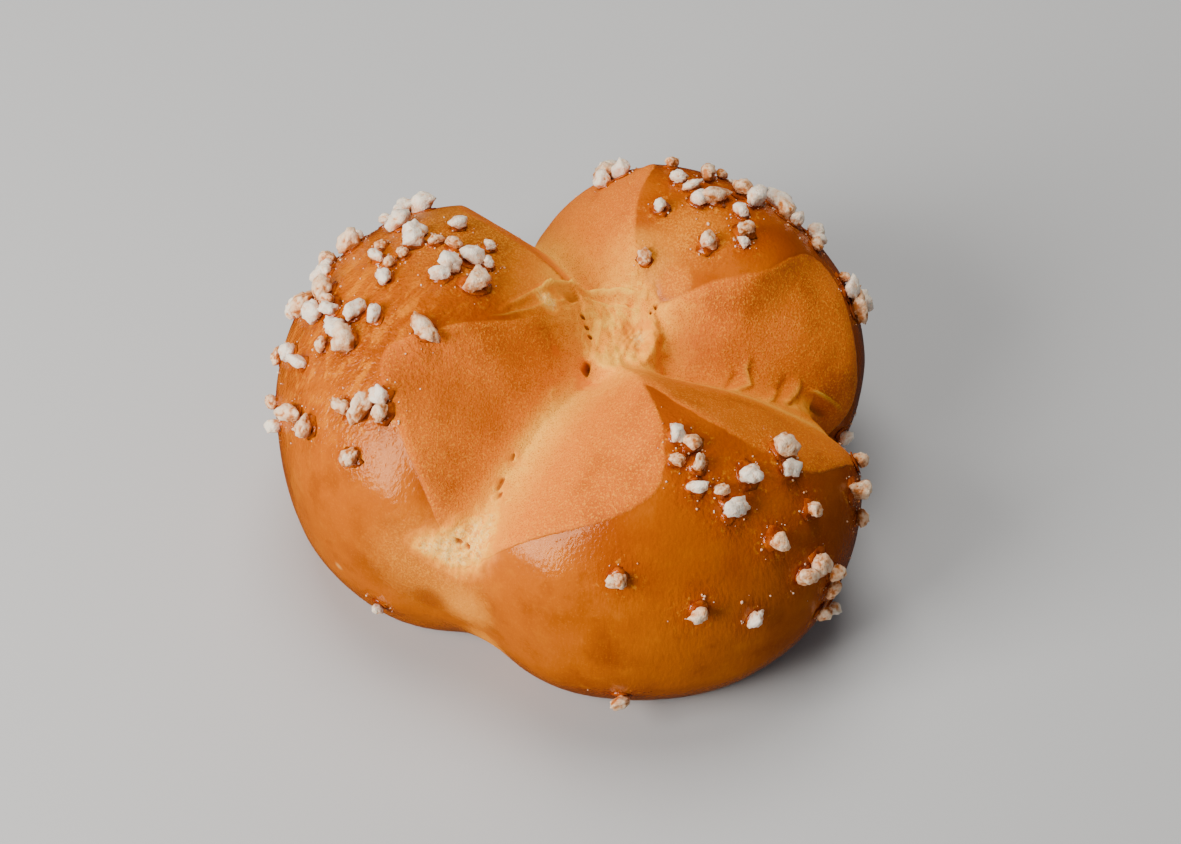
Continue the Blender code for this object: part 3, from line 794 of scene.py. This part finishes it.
# Each patch of sugar: azimuth, elevation and spread in degrees, number of grains and their size
LEFT_LOBE_SUGAR = (
    (144, 31, 3, 2, 1.1), (151, 33, 4, 3, 1.0), (158, 29, 3, 2, 1.0), (161, 42, 0, 1, 1.0),
    (153, 47, 0, 1, 1.25), (158, 54, 0, 1, 1.0), (164, 25, 3, 3, 1.0), (167, 37, 2, 2, 0.9),
    (167, 44, 3, 3, 0.9), (164, 50, 0, 1, 0.9), (170, 54, 2, 2, 1.0), (172, 21, 3, 2, 1.0),
    (177, 28, 3, 3, 1.0), (174, 40, 3, 2, 0.9), (178, 14, 0, 1, 0.9), (178, 52, 4, 3, 1.15),
    (-175, 11, 0, 1, 0.8), (-170, 11, 0, 1, 0.8), (-174, 23, 3, 2, 1.0), (-175, 31, 4, 3, 1.0),
    (-173, 37, 4, 3, 1.0), (-163, 19, 3, 2, 0.95), (-162, 46, 0, 1, 1.0), (-158, 27, 4, 2, 1.1),
    (-152, 33, 2, 2, 0.9), (-149, 24, 0, 1, 1.15))
BACK_LOBE_SUGAR = (
    (19, 24, 4, 5, 1.0), (32, 33, 3, 3, 1.0), (39, 39, 3, 2, 1.0), (44, 38, 0, 1, 1.1),
    (46, 45, 0, 1, 1.3), (51, 45, 0, 1, 1.0), (43, 51, 0, 1, 1.0), (32, 54, 3, 2, 0.95),
    (40, 61, 0, 1, 1.0), (64, 43, 3, 2, 1.0), (59, 54, 4, 3, 0.95), (71, 50, 0, 1, 1.0),
    (73, 59, 0, 1, 0.9), (73, 70, 0, 1, 1.0), (76, 43, 0, 1, 1.0), (93, 31, 5, 4, 1.0))
FRONT_LOBE_SUGAR = (
    (-68, 32, 0, 1, 1.05), (-62, 36, 0, 1, 1.0), (-71, 38, 3, 3, 0.85), (-74, 44, 3, 3, 0.95),
    (-54, 36, 3, 2, 0.95), (-51, 25, 0, 1, 1.1), (-61, 24, 0, 1, 1.0), (-56, 16, 3, 2, 1.05),
    (-48, 8, 3, 2, 1.1), (-78, 16, 0, 1, 1.0), (-68, 11, 0, 1, 1.0), (-92, 23, 0, 1, 0.8),
    (-91, -9, 0, 1, 0.95), (-141, -8, 0, 1, 0.8), (-33, 15, 4, 4, 1.0), (-48, -2, 4, 2, 0.9),
    (-3, -1, 0, 1, 1.0))
FAR_SIDE_SUGAR = (
    (130, 14, 8, 5, 1.0), (152, 8, 8, 5, 1.0), (56, 18, 9, 6, 1.0), (80, 14, 9, 6, 1.0),
    (-22, -2, 6, 2, 1.0))
SUGAR = LEFT_LOBE_SUGAR + BACK_LOBE_SUGAR + FRONT_LOBE_SUGAR + FAR_SIDE_SUGAR

# More of the grains on the front lobe are toasted. It lies between two azimuths.
TOASTED_SHARE = 0.38
TOASTED_ON_FRONT = 0.72
FRONT_LOBE_FROM = -150.0
FRONT_LOBE_TO = -20.0

# A grain is a few round lumps pressed together, with flattish sides cut off them: how far the lumps
# lie off the middle and their radii, how far off the sides lie, and how sharply they meet
LUMPS = 4
LUMPS_OFF_MIDDLE = (0.20, 0.10, 0.08)
LUMP_RADII = (0.26, 0.40)
LUMP_FACES = 11
FACES_OFF_MIDDLE = (0.25, 0.40)
LUMP_ROUNDING = 0.007
LUMP_SWELLING = 1.05
LEAST_LUMP = 0.12
LEAST_GRAIN = 0.15
LEAST_TOWARDS = 0.05

# Roughness of a grain's surface: how fine, and how high as a share of its reach
LUMP_ROUGHNESS = ((2.6, 0.10), (5.5, 0.18), (11.0, 0.18))
# How strongly a grain's hollows take painted shade
HOLLOW_SHADE_SHOWS = 6.0


def direction(azimuth, elevation):
    """A unit vector from its azimuth and elevation in degrees."""
    a, e = math.radians(azimuth), math.radians(elevation)
    return np.array((math.cos(a) * math.cos(e), math.sin(a) * math.cos(e), math.sin(e)))


def surface_frames(angles):
    """For each azimuth and elevation, the point on the dough and the way out of it."""
    step = 0.7
    here = dough_surface(np.array([direction(a, e) for a, e in angles]))
    east = dough_surface(np.array([direction(a + step, e) for a, e in angles]))
    north = dough_surface(np.array([direction(a, e + step) for a, e in angles]))
    out = np.cross(east - here, north - here)
    return here, out / np.linalg.norm(out, axis=1)[:, None]


def sugar_places(draw):
    """Azimuth, elevation, size and stretch of every grain, kept from lying inside one another."""
    places = []
    for azimuth, elevation, spread, count, size in SUGAR:
        narrowing = math.cos(math.radians(elevation))
        for _ in range(count):
            for _ in range(TRIES_PER_GRAIN):
                a = azimuth + spread * draw.uniform(-1.0, 1.0) / narrowing
                e = elevation + spread * draw.uniform(-1.0, 1.0)
                gaps = [math.hypot((a - other[0]) * narrowing, e - other[1]) for other in places]
                if min(gaps, default=GRAIN_GAP) >= GRAIN_GAP:
                    break
            places.append((a, e, size * draw.uniform(*GRAIN_SIZES), draw.uniform(*GRAIN_STRETCH)))
    return places


def pebble(bm, draw):
    """A lump of a few pressed crystals with flattish sides: its new vertices and how hollow each is, for
    painted shade.
    """
    made = bmesh.ops.create_icosphere(bm, subdivisions=3, radius=1.0)["verts"]
    lumps = []
    for _ in range(LUMPS):
        middle = Vector([draw.uniform(-1.0, 1.0) * off for off in LUMPS_OFF_MIDDLE])
        lumps.append((middle, draw.uniform(*LUMP_RADII)))
    sides = []
    for _ in range(LUMP_FACES):
        way = Vector([draw.gauss(0.0, 1.0) for _ in range(3)]).normalized()
        sides.append((way, draw.uniform(*FACES_OFF_MIDDLE)))
    shift = Vector([draw.uniform(0.0, 50.0) for _ in range(3)])
    hollows = []
    for vert in made:
        way = vert.co.normalized()
        reach = LEAST_LUMP
        for middle, radius in lumps:
            ahead = way.dot(middle)
            inside = ahead * ahead - middle.length_squared + radius * radius
            if inside > 0.0:
                reach = max(reach, ahead + math.sqrt(inside))
        cuts = 0.0
        for side, off in sides:
            cuts += math.exp(-off / max(way.dot(side), LEAST_TOWARDS) / LUMP_ROUNDING)
        reach = -LUMP_ROUNDING * math.log(cuts + math.exp(-reach * LUMP_SWELLING / LUMP_ROUNDING))
        rough = sum(rise * noise.noise(way * fineness + shift) for fineness, rise in LUMP_ROUGHNESS)
        vert.co = way * max(reach, LEAST_GRAIN) * (1.0 + rough)
        hollows.append(-HOLLOW_SHADE_SHOWS * rough)
    return made, hollows


def lay_grain(bm, place, out, size, stretch, spin, draw):
    """Adds one grain of sugar, sunk a little into the skin."""
    made, hollows = pebble(bm, draw)
    length = GRAIN_LENGTH * size
    width = length * draw.uniform(*GRAIN_WIDTHS)
    sides = (length * stretch, width, length * draw.uniform(*GRAIN_HEIGHTS), 1.0)
    turn = Vector(out).to_track_quat("Z", "Y").to_matrix().to_4x4()
    spin = Matrix.Rotation(spin, 4, "Z")
    tip = Matrix.Rotation(draw.uniform(-GRAIN_TIP, GRAIN_TIP), 4, "Y")
    middle = Vector(place) + Vector(out) * GRAIN_LIFT * length
    whole = Matrix.Translation(middle) @ turn @ spin @ tip @ Matrix.Diagonal(sides)
    bmesh.ops.transform(bm, matrix=whole, verts=made)
    return made, hollows


def finished_piece(name, bm, finish):
    """Makes one piece of the bun from its shape and its finish."""
    mesh = bpy.data.meshes.new(name)
    bm.to_mesh(mesh)
    bm.free()
    mesh.shade_smooth()
    mesh.materials.append(finish)
    piece = bpy.data.objects.new(name, mesh)
    bpy.context.scene.collection.objects.link(piece)
    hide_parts("brioche")
    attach(piece, "root")
    return piece


# Sugar is warmer in patches and takes warm painted shade in its hollows and towards its foot: how much
# for each mm and each hollow. The blush starts before the warm colour does.
LESS_SHADE_UPWARDS = 0.08
SHADE_IN_HOLLOWS = 0.16
BLUSH_SOONER = (0.14, 0.06)
WARM_LATER = 0.06
CRYSTAL_BUMPS = 0.0003


def sugar_finish(name, white, blush, warm, warm_from, warm_to):
    """Opaque pressed sugar, warmer in patches, with warm painted shade in its hollows and towards its
    foot.
    """
    material, tree, shader, where = new_finish(name)
    warmth_and_shade = mottle(tree, where, 650.0, 4.0, 0.65)
    warmth_and_shade = with_some(tree, warmth_and_shade, kept(tree, "above_skin"), -LESS_SHADE_UPWARDS)
    warmth_and_shade = with_some(tree, warmth_and_shade, kept(tree, "hollow"), SHADE_IN_HOLLOWS)
    colour = coated(tree, white, (
        (warmth_and_shade, warm_from - BLUSH_SOONER[0], warm_to - BLUSH_SOONER[1], 1.0, blush),
        (warmth_and_shade, warm_from + WARM_LATER, warm_to + WARM_LATER, 1.0, warm)))
    tree.links.new(colour, shader.inputs["Base Color"])
    shader.inputs["Roughness"].default_value = 0.5
    shader.inputs["Subsurface Weight"].default_value = 0.15
    shader.inputs["Subsurface Radius"].default_value = (1.0, 0.6, 0.4)
    shader.inputs["Subsurface Scale"].default_value = 0.0004
    crystals = small_bumps(tree, mottle(tree, where, 2200.0, 3.0, 0.6), CRYSTAL_BUMPS)
    tree.links.new(crystals, shader.inputs["Normal"])
    return material


white_finish = sugar_finish(
    "white pearl sugar", white=(0.92, 0.82, 0.71), blush=(0.88, 0.62, 0.44),
    warm=(0.76, 0.31, 0.095), warm_from=0.38, warm_to=0.58)
toasted_finish = sugar_finish(
    "toasted pearl sugar", white=(0.89, 0.68, 0.49), blush=(0.80, 0.45, 0.24),
    warm=(0.52, 0.155, 0.023), warm_from=0.28, warm_to=0.46)

draw = random.Random(SUGAR_SEED)
places = sugar_places(draw)
points, outs = surface_frames([place[:2] for place in places])
spins = random.Random(SPIN_SEED)
toast = random.Random(TOAST_SEED)
kinds = {"white_sugar": bmesh.new(), "toasted_sugar": bmesh.new()}
feet = {name: [] for name in kinds}
hollows = {name: [] for name in kinds}
for point, out, (azimuth, _, size, stretch) in zip(points, outs, places):
    on_front = FRONT_LOBE_FROM < azimuth < FRONT_LOBE_TO
    share = TOASTED_ON_FRONT if on_front else TOASTED_SHARE
    name = "toasted_sugar" if toast.random() < share else "white_sugar"
    spin = spins.uniform(0.0, math.tau)
    made, hollow = lay_grain(kinds[name], point, out, size, stretch, spin, draw)
    feet[name] += [(vert.co - Vector(point)).dot(Vector(out)) * 1000.0 for vert in made]
    hollows[name] += hollow
# Each kind of sugar keeps its height above the skin and how hollow each vertex is, which its finish turns
# into painted shade
for name, finish in (("white_sugar", white_finish), ("toasted_sugar", toasted_finish)):
    piece = finished_piece(name, kinds[name], finish)
    store(piece.data, "above_skin", np.array(feet[name]))
    store(piece.data, "hollow", np.array(hollows[name]))

# How far the skin lies from the foot of its nearest grain, in mm, for the wash round the sugar
near_sugar = kdtree.KDTree(len(points))
for index, point in enumerate(points):
    near_sugar.insert(point, index)
near_sugar.balance()
off_sugar = []
for vert in dough_mesh.vertices:
    _, index, gap = near_sugar.find(vert.co)
    off_sugar.append((gap - GRAIN_FOOT * GRAIN_LENGTH * places[index][2]) * 1000.0)
store(dough_mesh, "off_sugar", np.array(off_sugar))


# Melted sugar. At the foot of each grain some sugar melted in the oven, ran a little way over the
# skin and set there as a thin, glossy brown drop.

SYRUP_SEED = 8
SYRUP_REACH = 0.43
SYRUP_SHARES = (0.85, 1.2)
SYRUP_HEIGHT = 0.00035
SYRUP_RAGGED = 0.6
SYRUP_WAVES = 1.8
DROPS_DIFFER = 900.0
SYRUP_DARK = (0.22, 0.030, 0.001)
SYRUP_AMBER = (0.46, 0.090, 0.002)
RIPPLE_BUMPS = 0.0002

syrup_finish, tree, shader, where = new_finish("melted sugar")
clouds = between(tree, mottle(tree, where, 600.0, 3.0), 0.35, 0.65)
tree.links.new(tint(tree, clouds, SYRUP_DARK, SYRUP_AMBER), shader.inputs["Base Color"])
ripples = small_bumps(tree, mottle(tree, where, 1500.0, 2.0), RIPPLE_BUMPS)
tree.links.new(ripples, shader.inputs["Normal"])
shader.inputs["Roughness"].default_value = 0.1

draw = random.Random(SYRUP_SEED)
bm = bmesh.new()
for point, out, (_, _, size, _) in zip(points, outs, places):
    made = bmesh.ops.create_icosphere(bm, subdivisions=2, radius=1.0)["verts"]
    for vert in made:
        ragged = 1.0 + SYRUP_RAGGED * noise.noise(vert.co * SYRUP_WAVES + Vector(point) * DROPS_DIFFER)
        vert.co = Vector((vert.co.x * ragged, vert.co.y * ragged, vert.co.z))
    reach = GRAIN_LENGTH * size * SYRUP_REACH
    length = reach * draw.uniform(*SYRUP_SHARES)
    sides = Matrix.Diagonal((length, reach * draw.uniform(*SYRUP_SHARES), SYRUP_HEIGHT, 1.0))
    turn = Vector(out).to_track_quat("Z", "Y").to_matrix().to_4x4()
    bmesh.ops.transform(bm, matrix=Matrix.Translation(Vector(point)) @ turn @ sides, verts=made)
finished_piece("melted_sugar", bm, syrup_finish)


# Crumbs of sugar, 0.3 mm across, that broke off the grains. They melted on to the glaze beside the
# grains, fewer of them farther off.

CRUMBS_SEED = 3
CRUMBS_PER_GRAIN = (0, 12)
CRUMB_RADIUS = 0.00014
CRUMB_SPREAD = 0.4
CRUMB_SHARES = (0.7, 1.2)
CRUMB_LIFT = 0.0001

# Degrees off the grain's middle, seen from the core: the nearest, and how fast they thin out
CRUMBS_FROM = 2.0
CRUMBS_THIN_OUT = 0.9

draw = random.Random(CRUMBS_SEED)
crumb_places = []
for azimuth, elevation, size, _ in places:
    for _ in range(draw.randint(*CRUMBS_PER_GRAIN)):
        angle = draw.uniform(0.0, math.tau)
        off = CRUMBS_FROM * size + draw.expovariate(CRUMBS_THIN_OUT)
        sideways = off * math.cos(angle) / math.cos(math.radians(elevation))
        crumb_places.append((azimuth + sideways, elevation + off * math.sin(angle)))
bm = bmesh.new()
for point, out in zip(*surface_frames(crumb_places)):
    radius = CRUMB_RADIUS * draw.lognormvariate(0.0, CRUMB_SPREAD)
    made = bmesh.ops.create_icosphere(bm, subdivisions=1, radius=radius)["verts"]
    for vert in made:
        vert.co *= draw.uniform(*CRUMB_SHARES)
    bmesh.ops.translate(bm, vec=Vector(point) + Vector(out) * CRUMB_LIFT, verts=made)
finished_piece("sugar_crumbs", bm, white_finish)


# The floor and the light of a plain studio. A large soft box stands low to the left and in front,
# and a second hangs over the far side. The room gives a little light, less of it to gloss.

FLOOR_SIZE = 3.0
FLOOR_GREY = (0.45, 0.475, 0.52, 1.0)
FLOOR_ROUGHNESS = 0.8
ROOM_COLOUR = (1.0, 0.98, 0.96, 1.0)
ROOM_LIGHT = 0.17
ROOM_NOT_MIRRORED = 0.13
LAMP_COLOUR = (1.0, 0.93, 0.82)
LAMPS_LOOK_AT = Vector((0.0, 0.0, 0.03))

bm = bmesh.new()
bmesh.ops.create_grid(bm, x_segments=1, y_segments=1, size=FLOOR_SIZE / 2.0)
floor_mesh = bpy.data.meshes.new("studio_floor")
bm.to_mesh(floor_mesh)
bm.free()
studio_floor = bpy.data.objects.new("studio_floor", floor_mesh)
bpy.context.scene.collection.objects.link(studio_floor)
floor_finish = bpy.data.materials.new("pale floor")
floor_finish.use_nodes = True
shader = floor_finish.node_tree.nodes["Principled BSDF"]
shader.inputs["Base Color"].default_value = FLOOR_GREY
shader.inputs["Roughness"].default_value = FLOOR_ROUGHNESS
floor_mesh.materials.append(floor_finish)
studio_floor.visible_glossy = False

world = bpy.data.worlds.new("studio")
world.use_nodes = True
tree = world.node_tree
background = tree.nodes["Background"]
background.inputs["Color"].default_value = ROOM_COLOUR
mirrored = add(tree, "ShaderNodeLightPath").outputs["Is Glossy Ray"]
room_light = with_some(tree, ROOM_LIGHT, mirrored, -ROOM_NOT_MIRRORED)
tree.links.new(room_light, background.inputs["Strength"])
bpy.context.scene.world = world


def soft_box(name, azimuth, elevation, distance, width, height, power):
    """A rectangular light that looks at the bun."""
    light = bpy.data.lights.new(name, "AREA")
    light.shape = "RECTANGLE"
    light.size = width
    light.size_y = height
    light.energy = power
    light.color = LAMP_COLOUR
    lamp = bpy.data.objects.new(name, light)
    bpy.context.scene.collection.objects.link(lamp)
    way = Vector(direction(azimuth, elevation))
    lamp.location = way * distance + LAMPS_LOOK_AT
    lamp.rotation_euler = way.to_track_quat("Z", "Y").to_euler()
    return lamp


soft_box("main soft box", azimuth=-148.0, elevation=28.0, distance=0.75,
         width=0.40, height=0.55, power=11.3)
overhead = soft_box("overhead", azimuth=100.0, elevation=72.0, distance=1.0,
                    width=0.6, height=0.6, power=9.7)
overhead.visible_glossy = False


# The camera, where the photographer's was: looking down at 50 degrees, from the front.

CAMERA_ELEVATION = 50.0
CAMERA_DISTANCE = 0.52
CAMERA_LENS = 85.0
CAMERA_SENSOR = 36.0
AIM = Vector((0.004, 0.0, 0.023))

lens = bpy.data.cameras.new("camera")
lens.lens = CAMERA_LENS
lens.sensor_width = CAMERA_SENSOR
lens.clip_start = 0.01
camera = bpy.data.objects.new("camera", lens)
bpy.context.scene.collection.objects.link(camera)
back = Vector(direction(-90.0, CAMERA_ELEVATION))
camera.location = AIM + back * CAMERA_DISTANCE
camera.rotation_euler = back.to_track_quat("Z", "Y").to_euler()
bpy.context.scene.camera = camera
